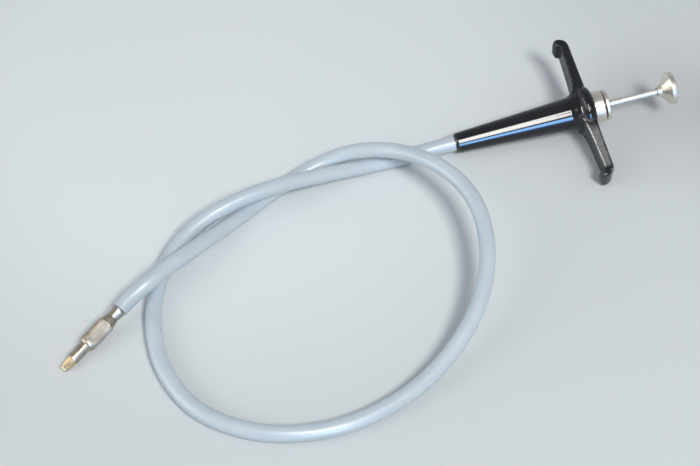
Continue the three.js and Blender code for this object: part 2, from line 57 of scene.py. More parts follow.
def point_along(item, direction):
    """Turn a camera or a lamp so that it looks along the direction."""
    item.rotation_mode = "QUATERNION"
    item.rotation_quaternion = direction.to_track_quat("-Z", "Y")


def add_camera():
    data = bpy.data.cameras.new("camera")
    data.sensor_width = SENSOR_WIDTH
    data.lens = LENS
    data.clip_start = CLIP_START
    data.clip_end = CLIP_END
    camera = add_object("camera", data)
    camera.location = Vector(CAMERA_AT) * MM
    point_along(camera, Vector(CAMERA_TO) - Vector(CAMERA_AT))
    bpy.context.scene.camera = camera


add_camera()

# ---- Cable route, in millimetres --------------------------------------------------------------
ROUTE = [
    (-40.5507, -10.1299, 4.5230), (-45.78, -11.30, 3.83), (-52.52, -12.97, 2.97),
    (-63.06, -16.81, 2.90), (-73.36, -20.52, 3.51), (-83.36, -24.63, 5.22),
    (-93.26, -29.10, 7.19), (-102.16, -33.31, 8.80), (-111.16, -37.71, 9.50),
    (-120.06, -42.31, 9.00), (-128.46, -47.61, 7.50), (-135.56, -54.31, 5.60),
    (-140.56, -62.61, 4.00), (-143.36, -73.11, 3.00), (-143.56, -87.21, 2.80),
    (-138.86, -104.51, 2.80), (-126.86, -120.21, 2.80), (-106.76, -128.41, 2.80),
    (-82.76, -126.67, 2.90), (-61.81, -116.33, 4.00), (-45.96, -101.00, 7.22),
    (-36.20, -83.08, 12.05), (-33.62, -64.27, 16.01), (-37.85, -45.73, 17.80),
    (-49.31, -30.90, 16.99), (-63.70, -21.03, 12.67), (-77.37, -18.31, 9.07),
    (-88.64, -20.42, 5.51), (-98.06, -25.35, 3.25), (-106.56, -32.23, 2.82),
    (-114.26, -39.93, 2.92), (-121.46, -48.11, 4.00), (-127.86, -55.81, 5.90),
    (-133.56, -62.61, 7.70), (-139.46, -69.21, 8.90), (-145.16, -75.31, 8.80),
    (-150.34, -79.98, 7.39), (-154.47, -84.95, 6.20),
]


def catmull_rom(points, steps):
    """Centripetal Catmull-Rom through the points, steps samples to a span."""
    pts = [2 * points[0] - points[1], *points, 2 * points[-1] - points[-2]]
    out = []
    for p0, p1, p2, p3 in zip(pts, pts[1:], pts[2:], pts[3:]):
        d0, d1, d2 = (math.sqrt((b - a).length) for a, b in ((p0, p1), (p1, p2), (p2, p3)))
        t1 = ((p1 - p0) / d0 - (p2 - p0) / (d0 + d1) + (p2 - p1) / d1) * d1
        t2 = ((p2 - p1) / d1 - (p3 - p1) / (d1 + d2) + (p3 - p2) / d2) * d1
        for k in range(steps):
            u = k / steps
            c2 = -3 * p1 + 3 * p2 - 2 * t1 - t2
            c3 = 2 * p1 - 2 * p2 + t1 + t2
            out.append(p1 + t1 * u + c2 * u**2 + c3 * u**3)
    out.append(points[-1])
    return out


ROUTE_STEPS = 14
END_GAP = 0.3 * MM

route = [Vector(p) * MM for p in ROUTE]
line = catmull_rom(route, ROUTE_STEPS)
# The sheath stops just short of the handle's mouth and of the ferrule.
line[0] = line[0] + (line[1] - line[0]).normalized() * END_GAP
line[-1] = line[-1] + (line[-2] - line[-1]).normalized() * END_GAP

# The handle's and the tip's own frames: the origin is where the route ends and X runs outwards.
HANDLE = Matrix((
    (0.967817, -0.240591, -0.073794, -0.0405507),
    (0.216512, 0.945524, -0.24312, -0.0101299),
    (0.128267, 0.219319, 0.967185, 0.004523),
    (0, 0, 0, 1),
))
TIP_AXIS = Vector((-0.62835, -0.756564, -0.181072)).normalized()
tip_side = Vector((0, 0, 1)).cross(TIP_AXIS).normalized()
tip_up = TIP_AXIS.cross(tip_side)
TIP = Matrix.Translation(route[-1]) @ Matrix((TIP_AXIS, tip_side, tip_up)).transposed().to_4x4()


# ---- Node materials ---------------------------------------------------------------------------
class Nodes:
    """A material with a few short calls for its nodes."""

    def __init__(self, name, local=True):
        self.material = bpy.data.materials.new(name)
        self.material.use_nodes = True
        self.tree = self.material.node_tree
        self.shader = self.tree.nodes["Principled BSDF"]
        if local:
            self.place = self.attribute("local", "Vector")
        else:
            self.place = self.add("ShaderNodeTexCoord").outputs["Object"]

    def add(self, kind, **settings):
        node = self.tree.nodes.new(kind)
        for key, value in settings.items():
            setattr(node, key, value)
        return node

    def join(self, source, socket):
        self.tree.links.new(source, socket)

    def attribute(self, name, output):
        return self.add("ShaderNodeAttribute", attribute_name=name).outputs[output]

    def along(self, axis):
        node = self.add("ShaderNodeSeparateXYZ")
        self.join(self.place, node.inputs[0])
        return node.outputs[axis]

    def noise(self, scale, detail=3.0, roughness=0.55, stretch=None):
        node = self.add("ShaderNodeTexNoise")
        node.inputs["Scale"].default_value = scale
        node.inputs["Detail"].default_value = detail
        node.inputs["Roughness"].default_value = roughness
        place = self.place
        if stretch:
            mapping = self.add("ShaderNodeMapping")
            mapping.inputs["Scale"].default_value = stretch
            self.join(place, mapping.inputs["Vector"])
            place = mapping.outputs["Vector"]
        self.join(place, node.inputs["Vector"])
        return node.outputs["Fac"]

    def remap(self, source, low, high, to_low=0.0, to_high=1.0):
        node = self.add("ShaderNodeMapRange")
        for socket, value in zip(node.inputs[1:5], (low, high, to_low, to_high)):
            socket.default_value = value
        self.join(source, node.inputs["Value"])
        return node.outputs["Result"]

    def far_from(self, centre, near, far, most=1.0):
        """Rises smoothly from 0 at the near distance from a centre to most at the far one."""
        node = self.add("ShaderNodeVectorMath", operation="DISTANCE")
        self.join(self.place, node.inputs[0])
        node.inputs[1].default_value = (*centre, 0)
        share = self.remap(node.outputs["Value"], near, far)
        share.node.interpolation_type = "SMOOTHSTEP"
        return self.product(share, most)

    def ramp(self, source, *stops):
        node = self.add("ShaderNodeValToRGB")
        elements = node.color_ramp.elements
        while len(elements) < len(stops):
            elements.new(0.5)
        for element, (at, colour) in zip(elements, stops):
            element.position = at
            element.color = (*colour, 1)
        self.join(source, node.inputs["Fac"])
        return node.outputs["Color"]

    def math(self, operation, a, b=0.0, c=0.0):
        node = self.add("ShaderNodeMath", operation=operation)
        for socket, value in zip(node.inputs, (a, b, c)):
            if isinstance(value, float):
                socket.default_value = value
            else:
                self.join(value, socket)
        return node.outputs["Value"]

    def product(self, first, *others):
        for other in others:
            first = self.math("MULTIPLY", first, other)
        return first

    def mix(self, share, a, b):
        node = self.add("ShaderNodeMix", data_type="RGBA")
        self.join(share, node.inputs["Factor"])
        for name, value in (("A", a), ("B", b)):
            socket = [s for s in node.inputs if s.name == name and s.type == "RGBA"][0]
            if isinstance(value, tuple):
                socket.default_value = (*value, 1)
            else:
                self.join(value, socket)
        return [s for s in node.outputs if s.type == "RGBA"][0]

    def bump(self, height, depth_mm, strength=1.0, under=None):
        node = self.add("ShaderNodeBump")
        node.inputs["Distance"].default_value = depth_mm * MM
        node.inputs["Strength"].default_value = strength
        self.join(height, node.inputs["Height"])
        if under is not None:
            self.join(under, node.inputs["Normal"])
        self.join(node.outputs["Normal"], self.shader.inputs["Normal"])
        return node.outputs["Normal"]

    def set(self, **values):
        for name, value in values.items():
            self.shader.inputs[name.replace("_", " ")].default_value = value

    def colour(self, source):
        self.join(source, self.shader.inputs["Base Color"])

    def rough(self, source):
        self.join(source, self.shader.inputs["Roughness"])


# Bounds of the wings' worn part in the handle's own frame, in metres out from its axis.
WINGS_BEGIN = (0.0055, 0.0080)
WINGS_END = (0.0265, 0.0250)
DEEP_BLACK = (0.004, 0.0045, 0.0055)
SOFT_BLACK = (0.008, 0.009, 0.011)
BARE_METAL = (0.34, 0.34, 0.33)
# Colour of the painted highlight along the near wing's upper edge.
RIDGE_PAINTED_HIGHLIGHT = (0.80, 0.80, 0.78)
BARED_BRASS = (0.80, 0.63, 0.38)
# Where the knurl begins and ends along the tip, in metres, and how much rougher it is.
KNURL_BEGINS = (0.0056, 0.0064)
KNURL_ENDS = (0.0148, 0.0142)
KNURL_ROUGHER = 0.16
BRASS_EDGE = 0.0002


def rubbed_edges(n):
    """Flecks of bare metal, in patches, where the wear is high; fewer on the far wing."""
    flecks = n.remap(n.noise(2900, 2.0, 0.7), 0.53, 0.60)
    patches = n.remap(n.noise(300, 3.0, 0.6), 0.46, 0.60)
    wear = n.remap(n.attribute("wear", "Fac"), 0.25, 0.75)
    near = n.remap(n.along("Y"), 0.010, 0.006, 0.2, 1.0)
    return n.product(flecks, patches, wear, near)


def worn_top(n, bar):
    """Speckled bare metal on the upper side of the near wing."""
    near = n.remap(n.along("Y"), -0.0085, -0.0115, 0.0, 0.9)
    upper = n.remap(n.along("Z"), 0.0036, 0.0043)
    behind = n.remap(n.along("X"), 0.0502, 0.0497)
    speckle = n.remap(n.noise(4200, 2.0, 0.8), 0.40, 0.64, 0.22, 0.85)
    return n.product(near, bar, upper, behind, speckle)


def painted_ridge_highlight(n, out, bar):
    """A painted highlight: a bright line along the near wing's upper edge, where the edge catches
    the light.
    """
    ridge_x = n.math("MULTIPLY_ADD", out, 0.045, 0.04635)
    ridge_z = n.math("MULTIPLY_ADD", out, -0.0226, 0.00503)
    off_x = n.math("ABSOLUTE", n.math("SUBTRACT", n.along("X"), ridge_x))
    off_z = n.math("ABSOLUTE", n.math("SUBTRACT", n.along("Z"), ridge_z))
    ridge = n.remap(n.math("ADD", off_x, off_z), 0.0006, 0.0003)
    near = n.remap(n.along("Y"), -0.0075, -0.0100)
    broken = n.remap(n.noise(900, 3.0, 0.6), 0.40, 0.55, 0.4, 1.0)
    return n.product(ridge, near, bar, broken)


def enamel():
    n = Nodes("black_enamel")
    out = n.math("ABSOLUTE", n.along("Y"))
    bar = n.remap(out, *WINGS_END)
    wing = n.product(n.remap(out, *WINGS_BEGIN), bar)
    rubbed = n.math("MAXIMUM", rubbed_edges(n), worn_top(n, bar))
    tone = n.ramp(n.noise(90, 4.0), (0.3, DEEP_BLACK), (0.7, SOFT_BLACK))
    worn = n.mix(rubbed, tone, BARE_METAL)
    # The near wing's upper edge gets a painted highlight in its colour.
    n.colour(n.mix(painted_ridge_highlight(n, out, bar), worn, RIDGE_PAINTED_HIGHLIGHT))
    polished = n.remap(n.noise(420, 4.0, 0.6), 0.3, 0.75, 0.07, 0.14)
    handled = n.remap(n.noise(1300, 4.0, 0.7), 0.35, 0.65, 0.20, 0.42)
    dusty = n.product(n.attribute("hollow", "Fac"), 0.6)
    n.rough(n.math("MAXIMUM", n.mix(wing, polished, handled), dusty))
    orange_peel = n.bump(n.noise(300, 2.0), 0.006, 0.5)
    n.bump(n.product(n.noise(1500, 3.0), wing), 0.03, 0.5, orange_peel)
    n.set(IOR=1.5)
    return n.material


def metal(name, bright, dull, rough_low, rough_high, local=True, brass_from=None):
    """Plated or bare metal. From brass_from on, along X, the plating is worn to the brass."""
    n = Nodes(name, local)
    base = n.ramp(n.noise(420, 4.0, 0.65), (0.36, dull), (0.60, bright))
    rough = n.remap(n.noise(700, 4.0, 0.6), 0.3, 0.7, rough_low, rough_high)
    if brass_from:
        bared = n.remap(n.along("X"), brass_from - BRASS_EDGE, brass_from + BRASS_EDGE)
        patchy = n.remap(n.noise(1200, 3.0, 0.6), 0.35, 0.60, 0.35, 0.9)
        base = n.mix(n.product(bared, patchy), base, BARED_BRASS)
        begins = n.remap(n.along("X"), *KNURL_BEGINS)
        ends = n.remap(n.along("X"), *KNURL_ENDS)
        rough = n.math("ADD", rough, n.product(begins, ends, KNURL_ROUGHER))
    n.colour(base)
    n.rough(rough)
    n.set(Metallic=1.0)
    soft = n.bump(n.noise(600, 3.0), 0.002, 0.5)
    if local:
        turning_marks = n.noise(2.0, 2.0, 0.5, (5000, 30, 30))
        n.bump(turning_marks, 0.001, 0.5, soft)
    return n.material


def sheath():
    n = Nodes("sheath_plastic", False)
    cloud = n.noise(60, 5.0, 0.6)
    n.colour(n.ramp(cloud, (0.32, (0.435, 0.51, 0.57)), (0.68, (0.50, 0.572, 0.63))))
    n.rough(n.remap(n.noise(500, 4.0, 0.6), 0.3, 0.7, 0.26, 0.38))
    fine = n.bump(n.noise(1500, 3.0), 0.004, 0.5)
    n.bump(n.noise(150, 2.0), 0.03, 0.3, fine)
    n.set(Subsurface_Weight=0.05, Subsurface_Scale=0.001, Coat_Weight=0.1, Coat_Roughness=0.2)
    return n.material


# Floor colours with painted light: the left, right and far colours paint the lamps' falloff, and
# the dim colour paints a shadow round the button.
FLOOR_LEFT, FLOOR_RIGHT = (0.68, 0.719, 0.736), (0.597, 0.636, 0.65)
FLOOR_PAINTED_FALLOFF = (0.566, 0.602, 0.615)
FLOOR_PAINTED_SHADOW = (0.42, 0.442, 0.458)


def floor_paper_painted_light():
    """Paper with painted light: a painted falloff from palest at the left to dimmer at the right
    and far out, and a painted shadow round the button.
    """
    n = Nodes("floor_paper_painted_light", False)
    # Painted light falloff: paler at the left, dimmer to the right and far from the loop.
    share = n.remap(n.along("X"), -0.12, 0.12)
    base = n.ramp(share, (0.0, FLOOR_LEFT), (1.0, FLOOR_RIGHT))
    wide = n.mix(n.far_from((-0.12, 0.03), 0.08, 0.17), base, FLOOR_PAINTED_FALLOFF)
    # Painted shadow: the paper is darkened round the button.
    n.colour(n.mix(n.far_from((0.05, 0.01), 0.055, 0.0, 0.6), wide, FLOOR_PAINTED_SHADOW))
    n.rough(n.remap(n.noise(300, 3.0), 0.3, 0.7, 0.7, 0.85))
    n.bump(n.noise(900, 4.0), 0.02, 0.15)
    n.set(Specular_IOR_Level=0.1)
    return n.material


ENAMEL = enamel()
NICKEL = metal("bright_nickel", (0.80, 0.75, 0.66), (0.72, 0.67, 0.585), 0.26, 0.33)
WORN = metal("worn_nickel", (0.45, 0.40, 0.325), (0.32, 0.285, 0.23), 0.31, 0.42, brass_from=0.022)
STEEL = metal("bright_steel", (0.74, 0.72, 0.69), (0.62, 0.60, 0.57), 0.38, 0.46)
INNER_STEEL = metal("inner_steel", (0.70, 0.71, 0.72), (0.55, 0.55, 0.55), 0.25, 0.40, False)
BRASS = metal("turned_brass", (0.72, 0.56, 0.26), (0.55, 0.42, 0.19), 0.25, 0.40, False)
SHEATH = sheath()


# ---- Mesh helpers -----------------------------------------------------------------------------
MERGE_WITHIN = 1e-7
SHARP_DEGREES = 35


def mesh_object(name, verts, faces, material):
    mesh = bpy.data.meshes.new(name)
    mesh.from_pydata([tuple(v) for v in verts], [], faces)
    mesh.validate()
    work = bmesh.new()
    work.from_mesh(mesh)
    bmesh.ops.remove_doubles(work, verts=work.verts, dist=MERGE_WITHIN)
    bmesh.ops.recalc_face_normals(work, faces=work.faces)
    work.to_mesh(mesh)
    work.free()
    mesh.materials.append(material)
    return add_object(name, mesh)


def points_of(mesh):
    co = np.empty(len(mesh.vertices) * 3)
    mesh.vertices.foreach_get("co", co)
    return co.reshape(-1, 3)


def edges_of(mesh):
    edges = np.empty(len(mesh.edges) * 2, dtype=np.int64)
    mesh.edges.foreach_get("vertices", edges)
    return edges.reshape(-1, 2).T


def settle(piece, matrix):
    """Keep each point's place in the piece's own frame, then put the mesh where it belongs."""
    mesh = piece.data
    layer = mesh.attributes.new("local", "FLOAT_VECTOR", "POINT")
    layer.data.foreach_set("vector", points_of(mesh).astype(np.float32).ravel())
    mesh.transform(matrix)
    mesh.update()


def smooth(piece, angle=SHARP_DEGREES):
    piece.data.shade_smooth()
    piece.data.set_sharp_from_angle(angle=math.radians(angle))


CORNER_STEPS = 3
CORNER_SHARE = 0.45
ALMOST_STRAIGHT = math.radians(155)
LONG_SIDE = 0.5
SUPPORT = 0.1


def rounded(profile, radius, closed):
    """The profile with each of its corners turned into a small arc.

    A long side gets a support point beside each arc, which keeps its shading flat."""
    points = [Vector(p) for p in profile]
    count = len(points)
    out = []
    for i, here in enumerate(points):
        if not closed and i in (0, count - 1):
            out.append(here)
            continue
        before = points[i - 1] - here
        after = points[(i + 1) % count] - here
        if min(before.length, after.length) < 1e-6:
            out.append(here)
            continue
        bend = before.angle(after)
        if bend > ALMOST_STRAIGHT:
            out.append(here)
            continue
        room = min(CORNER_SHARE * before.length, CORNER_SHARE * after.length)
        cut = min(radius / math.tan(bend / 2), room)
        start = here + before.normalized() * cut
        end = here + after.normalized() * cut
        if before.length > cut + LONG_SIDE:
            out.append(start + before.normalized() * SUPPORT)
        for k in range(CORNER_STEPS + 1):
            u = k / CORNER_STEPS
            out.append(start * (1 - u) ** 2 + here * 2 * u * (1 - u) + end * u**2)
        if after.length > cut + LONG_SIDE:
            out.append(end + after.normalized() * SUPPORT)
    return [tuple(p) for p in out]


def ring_faces(rings, count, closed):
    """Quads between neighbouring rings of points. If closed, the last ring meets the first."""
    faces = []
    for k in range(rings if closed else rings - 1):
        n = (k + 1) % rings
        for i in range(count):
            j = (i + 1) % count
            faces.append((k * count + i, k * count + j, n * count + j, n * count + i))
    return faces


def rings_to_mesh(rings, segments, poles):
    """Rings of (station, radius or function of angle), joined round into one closed body."""
    verts = []
    for station, radius in rings:
        for i in range(segments):
            a = 2 * math.pi * i / segments
            r = radius(a) if callable(radius) else radius
            verts.append((station * MM, r * math.cos(a) * MM, r * math.sin(a) * MM))
    return verts, ring_faces(len(rings), segments, not poles)


def turned(name, profile, matrix, material, fillet, segments=96):
    """A piece turned about its local X axis, solid if its profile starts and ends on the axis."""
    solid = profile[0][1] == 0 and profile[-1][1] == 0
    points = rounded(profile, fillet, not solid)
    verts, faces = rings_to_mesh(points, segments, solid)
    piece = mesh_object(name, verts, faces, material)
    smooth(piece)
    settle(piece, matrix)
    return piece


def arc(x, r, radius, a0, a1, steps):
    """Points of (station, radius) on an arc about (x, r), from angle a0 to a1."""
    out = []
    for k in range(steps + 1):
        a = a0 + (a1 - a0) * k / steps
        out.append((x + radius * math.cos(a), r + radius * math.sin(a)))
    return out


def apply_modifiers(piece):
    graph = bpy.context.evaluated_depsgraph_get()
    mesh = bpy.data.meshes.new_from_object(piece.evaluated_get(graph))
    piece.modifiers.clear()
    old = piece.data
    piece.data = mesh
    bpy.data.meshes.remove(old)


# ---- Cable ------------------------------------------------------------------------------------
CABLE_RADIUS = 2.75


def cable():
    data = bpy.data.curves.new("cable", "CURVE")
    data.dimensions = "3D"
    data.bevel_depth = CABLE_RADIUS * MM
    data.bevel_resolution = 10
    data.use_fill_caps = True
    spline = data.splines.new("POLY")
    spline.points.add(len(line) - 1)
    for point, place in zip(spline.points, line):
        point.co = (*place, 1)
    spline.use_smooth = True
    data.materials.append(SHEATH)
    return add_object("cable", data)


cord = cable()
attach(cord, "handle")
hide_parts("cable_sheath")

# ---- Handle -----------------------------------------------------------------------------------
HANDLE_LENGTH = 51.5
MOUTH_BEVEL, MOUTH_BEVEL_LENGTH = 0.3, 0.6
CONE_MOUTH = 3.65
CONE_ROOT = 6.1
CONE_SWELL = 1.05
FLANGE = 8.9
FLANGE_FRONT = HANDLE_LENGTH - 4.3
CONE_LENGTH = FLANGE_FRONT - 3.6
FLARE_START = CONE_LENGTH - 1.3
FLARE_END = FLANGE_FRONT - 0.6
FRONT_ROUND = 1.5
BACK_ROUND = 2.3
WING_SPAN = 58.6
WING_BACK = HANDLE_LENGTH - 0.7
WING_ROOT_Y = 5.6
WING_ROOT = (4.2, 10.0)
WING_TIP = (3.2, 9.0)
WING_CROWDING = 1.6
WING_FILLET = 1.7
WING_FILLET_REACH = 1.9
CURL_RADIUS = 1.95
CURL_ANGLE = 1.75
BUSH_START = HANDLE_LENGTH - 6.0
SOCKET_BORE, SOCKET_BORE_END = 2.6, 11.3
WIRE_BORE, WIRE_BORE_END = 1.1, 13.2
SPRING_BORE, SPRING_BORE_END = 2.95, BUSH_START - 0.3
BUSH_BORE = 4.5
VOXEL = 0.24
TRUE_WITHIN = 0.22
HUB_SEGMENTS, BORE_SEGMENTS = 120, 64
CONE_STEPS, FLARE_STEPS = 24, 60
WING_STEPS, CURL_STEPS, END_STEPS = 24, 24, 10


def hub_profile():
    """The cone, its flare and the flange, from the mouth to the back face."""
    profile = [(0, 0), (0, CONE_MOUTH - MOUTH_BEVEL)]
    for k in range(CONE_STEPS + 1):
        share = k / CONE_STEPS
        station = MOUTH_BEVEL_LENGTH + (FLARE_START - MOUTH_BEVEL_LENGTH) * share
        swell = (station / CONE_LENGTH) ** CONE_SWELL
        profile.append((station, CONE_MOUTH + (CONE_ROOT - CONE_MOUTH) * swell))
    root = profile[-1][1]
    rise = FLANGE - FRONT_ROUND - root
    run = FLARE_END - FLARE_START
    for k in range(1, FLARE_STEPS + 1):
        u = k / FLARE_STEPS
        profile.append((FLARE_START + run * u, root + rise * u * u * (3 - 2 * u)))
    front = FLANGE_FRONT + FRONT_ROUND
    back = HANDLE_LENGTH - BACK_ROUND
    profile += arc(front, FLANGE - FRONT_ROUND, FRONT_ROUND, math.pi, math.pi / 2, 32)
    profile += arc(back, FLANGE - BACK_ROUND, BACK_ROUND, math.pi / 2, 0, 40)
    profile.append((HANDLE_LENGTH, 0))
    return profile


# Sides in thickness and in width, and the corner's radius: the fingers' side is crisper.
WING_CORNERS = ((1, 1, 0.9), (-1, 1, 0.4), (-1, -1, 0.4), (1, -1, 0.9))
WING_CORNER_STEPS = 8


def wing_ring(x, y, angle, thickness, width, scale, side):
    """A rounded rectangle across the wing's middle line."""
    ring = []
    for quarter, (st, sw, radius) in enumerate(WING_CORNERS):
        corner = min(radius, thickness / 2.2) * scale
        half_t = thickness / 2 * scale - corner
        half_w = width / 2 * scale - corner
        for k in range(WING_CORNER_STEPS + 1):
            a = (quarter + k / WING_CORNER_STEPS) * math.pi / 2
            t = st * half_t + corner * math.cos(a)
            w = sw * half_w + corner * math.sin(a)
            px = x + t * math.cos(angle)
            py = y + t * math.sin(angle)
            ring.append((px * MM, side * py * MM, side * w * MM))
    return ring


def wing(side):
    """One wing with its curled tip and domed end, side 1 or -1 along Y."""
    (root_t, root_w), (tip_t, tip_w) = WING_ROOT, WING_TIP
    straight = WING_SPAN / 2 - CURL_RADIUS - tip_t / 2
    rings = []
    for k in range(WING_STEPS + 1):
        share = (k / WING_STEPS) ** WING_CROWDING
        y = WING_ROOT_Y - 2 + (straight - WING_ROOT_Y + 2) * share
        fillet = WING_FILLET * math.exp(min(0.0, (WING_ROOT_Y - y) / WING_FILLET_REACH))
        thickness = root_t + (tip_t - root_t) * share + fillet
        width = root_w + (tip_w - root_w) * share + 0.8 * fillet
        rings.append(wing_ring(WING_BACK - thickness / 2, y, 0, thickness, width, 1, side))
    middle = WING_BACK - tip_t / 2
    for k in range(1, CURL_STEPS + 1):
        a = CURL_ANGLE * k / CURL_STEPS
        x = middle - CURL_RADIUS * (1 - math.cos(a))
        y = straight + CURL_RADIUS * math.sin(a)
        rings.append(wing_ring(x, y, a, tip_t, tip_w, 1, side))
    end_x = middle - CURL_RADIUS * (1 - math.cos(CURL_ANGLE))
    end_y = straight + CURL_RADIUS * math.sin(CURL_ANGLE)
    for k in range(1, END_STEPS + 1):
        b = 1.5 * k / END_STEPS
        reach = tip_t / 2 * math.sin(b)
        x = end_x - reach * math.sin(CURL_ANGLE)
        y = end_y + reach * math.cos(CURL_ANGLE)
        rings.append(wing_ring(x, y, CURL_ANGLE, tip_t, tip_w, math.cos(b), side))
    count = len(rings[0])
    verts = [p for ring in rings for p in ring]
    faces = ring_faces(len(rings), count, False)
    faces.append(tuple(range(count)))
    faces.append(tuple(range(len(verts) - count, len(verts))))
    return verts, faces


def spread(values, ends, degree, rounds, gain=1.0):
    """Each point's value averaged with its neighbours', some rounds over."""
    a, b = ends
    count = len(values)
    for _ in range(rounds):
        around = np.bincount(a, values[b], count) + np.bincount(b, values[a], count)
        values = gain * (0.5 * values + 0.5 * around / degree)
    return values


def true_up(mesh, profile, within):
    """Points that lie within a distance of the turned profile are moved onto it.

    The weight fades to nothing at that distance, and the axis is left alone."""
    co = points_of(mesh)
    radius = np.hypot(co[:, 1], co[:, 2])
    flat = np.stack((co[:, 0], radius), 1)
    best = np.full(len(co), 1e9)
    goal = flat.copy()
    points = np.array(profile) * MM
    for start, end in zip(points, points[1:]):
        along = end - start
        size = max((along**2).sum(), 1e-18)
        share = np.clip(((flat - start) @ along) / size, 0, 1)
        near = start + share[:, None] * along
        gap = np.hypot(*(flat - near).T)
        closer = gap < best
        best[closer] = gap[closer]
        goal[closer] = near[closer]
    weight = np.clip((within * MM - best) / (0.4 * within * MM), 0, 1) * (radius > 1.5 * MM)
    co[:, 0] += weight * (goal[:, 0] - flat[:, 0])
    scale = 1 + weight * (goal[:, 1] / np.maximum(radius, 1e-9) - 1)
    co[:, 1] *= scale
    co[:, 2] *= scale
    mesh.vertices.foreach_set("co", co.ravel())
    mesh.update()


def relax(mesh, weights, rounds):
    """Laplacian smoothing of a mesh, each point by its own weight."""
    co = points_of(mesh)
    ends = edges_of(mesh)
    degree = np.bincount(np.concatenate(ends), minlength=len(co))
    for _ in range(rounds):
        for axis in range(3):
            target = spread(co[:, axis], ends, degree, 1)
            co[:, axis] += weights * (target - co[:, axis])
    mesh.vertices.foreach_set("co", co.ravel())
    mesh.update()


def curvature(mesh):
    """How convex each point is, per millimetre, evened out over its neighbours."""
    co = points_of(mesh)
    count = len(co)
    normals = np.empty(count * 3)
    mesh.vertex_normals.foreach_get("vector", normals)
    normals = normals.reshape(-1, 3)
    a, b = edges_of(mesh)
    step = co[b] - co[a]
    size = np.maximum((step**2).sum(1), 1e-12)
    bend = -(step * normals[a]).sum(1) / size
    back = (step * normals[b]).sum(1) / size
    degree = np.maximum(np.bincount(np.concatenate((a, b)), minlength=count), 1)
    curve = (np.bincount(a, bend, count) + np.bincount(b, back, count)) / degree
    return spread(curve * MM, (a, b), degree, 3)


# Curvatures per millimetre at which a value begins, and how much more takes it to 1.
CREASE_FROM, CREASE_OVER = 0.12, 0.15
RIM_FROM, RIM_OVER = 0.06, 0.30
DUST_FROM, DUST_OVER = 0.04, 0.08
# The same in millimetres out along Y.
WINGS_FROM, WINGS_OVER = 7, 5
CREASE_SPREAD, CREASE_GAIN, CREASE_ROUNDS = 4, 1.1, 24


def rise(values, start, over):
    return np.clip((values - start) / over, 0, 1)


def soften_creases(mesh):
    """Fillets only where the surface is hollow, so that no rim shrinks."""
    curve = curvature(mesh)
    ends = edges_of(mesh)
    degree = np.maximum(np.bincount(np.concatenate(ends), minlength=len(curve)), 1)
    hollow = rise(-curve, CREASE_FROM, CREASE_OVER)
    weights = np.clip(spread(hollow, ends, degree, CREASE_SPREAD, CREASE_GAIN), 0, 1)
    relax(mesh, weights, CREASE_ROUNDS)


def mark_wear(mesh):
    """Point attributes: wear is high on convex edges, where enamel rubs off, hollow in hollows."""
    curve = curvature(mesh)
    wings = rise(np.abs(points_of(mesh)[:, 1]) / MM, WINGS_FROM, WINGS_OVER)
    wear = rise(curve, RIM_FROM, RIM_OVER) * (0.75 + 0.25 * wings) + 0.22 * wings
    hollow = rise(-curve, DUST_FROM, DUST_OVER)
    for name, values in (("wear", np.clip(wear, 0, 1)), ("hollow", hollow)):
        layer = mesh.attributes.new(name, "FLOAT", "POINT")
        layer.data.foreach_set("value", values.astype(np.float32))


def bore_profile():
    """The holes through the handle, from the cable's socket to the end bush."""
    return [
        (-1, 0), (-1, SOCKET_BORE),
        (SOCKET_BORE_END, SOCKET_BORE), (SOCKET_BORE_END, WIRE_BORE),
        (WIRE_BORE_END, WIRE_BORE), (WIRE_BORE_END, SPRING_BORE),
        (SPRING_BORE_END, SPRING_BORE), (SPRING_BORE_END, BUSH_BORE),
        (HANDLE_LENGTH + 0.5, BUSH_BORE), (HANDLE_LENGTH + 0.5, 0),
    ]


def handle():
    """The cone, flange and wings as one skin, with soft fillets and the bores cut out."""
    verts, faces = rings_to_mesh(hub_profile(), HUB_SEGMENTS, True)
    for side in (1, -1):
        more, these = wing(side)
        faces += [tuple(len(verts) + i for i in face) for face in these]
        verts += more
    piece = mesh_object("handle", verts, faces, ENAMEL)
    remesh = piece.modifiers.new("remesh", "REMESH")
    remesh.mode = "VOXEL"
    remesh.voxel_size = VOXEL * MM
    remesh.adaptivity = 0
    apply_modifiers(piece)
    relax(piece.data, 1.0, 4)
    true_up(piece.data, hub_profile(), TRUE_WITHIN)
    soften_creases(piece.data)
    bores = rings_to_mesh(bore_profile(), BORE_SEGMENTS, True)
    cutter = mesh_object("cutter", *bores, ENAMEL)
    cut = piece.modifiers.new("bore", "BOOLEAN")
    cut.operation = "DIFFERENCE"
    cut.solver = "EXACT"
    cut.object = cutter
    bpy.context.view_layer.update()
    apply_modifiers(piece)
    bpy.data.objects.remove(cutter)
    mark_wear(piece.data)
    smooth(piece, 50)
    settle(piece, HANDLE)
    return piece


body = handle()
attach(body, "handle")
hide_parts("handle_body")

# ---- Collar, lock disc, plunger ---------------------------------------------------------------
CLEAR = 0.3
ROD = 1.0
ROD_SEEN = ROD + 0.12
PASSAGE = ROD + CLEAR
SHANK = 4.2
COLLAR_START = HANDLE_LENGTH + CLEAR
COLLAR_END = COLLAR_START + 3.7
COLLAR = 6.0
COLLAR_ROUND = 0.6
COLLAR_GROOVES = 3
CAVITY = 3.3
CAVITY_START = BUSH_START + 1.5
LOCK_START = COLLAR_END - 3.0
LOCK_END = LOCK_START + 1.2
LOCK_NOSE, LOCK_HEAD, LOCK_NECK = 1.75, 3.0, 2.3
RETAINER_SEAT = 3.9
DISC = 5.7
DISC_START = COLLAR_END + 0.4
DISC_END = DISC_START + 1.4
DISC_ROUND = 0.35
BUTTON = 5.95
BUTTON_NECK = 1.9
BUTTON_ROUND = 0.6
BUTTON_START = DISC_END + 19.1
BUTTON_END = BUTTON_START + 6.2
BUTTON_RIM = BUTTON_END - 2.0
BUTTON_FLARE = 1.15
NECK_RINGS = 3
ROD_END = BUTTON_START + 2.5


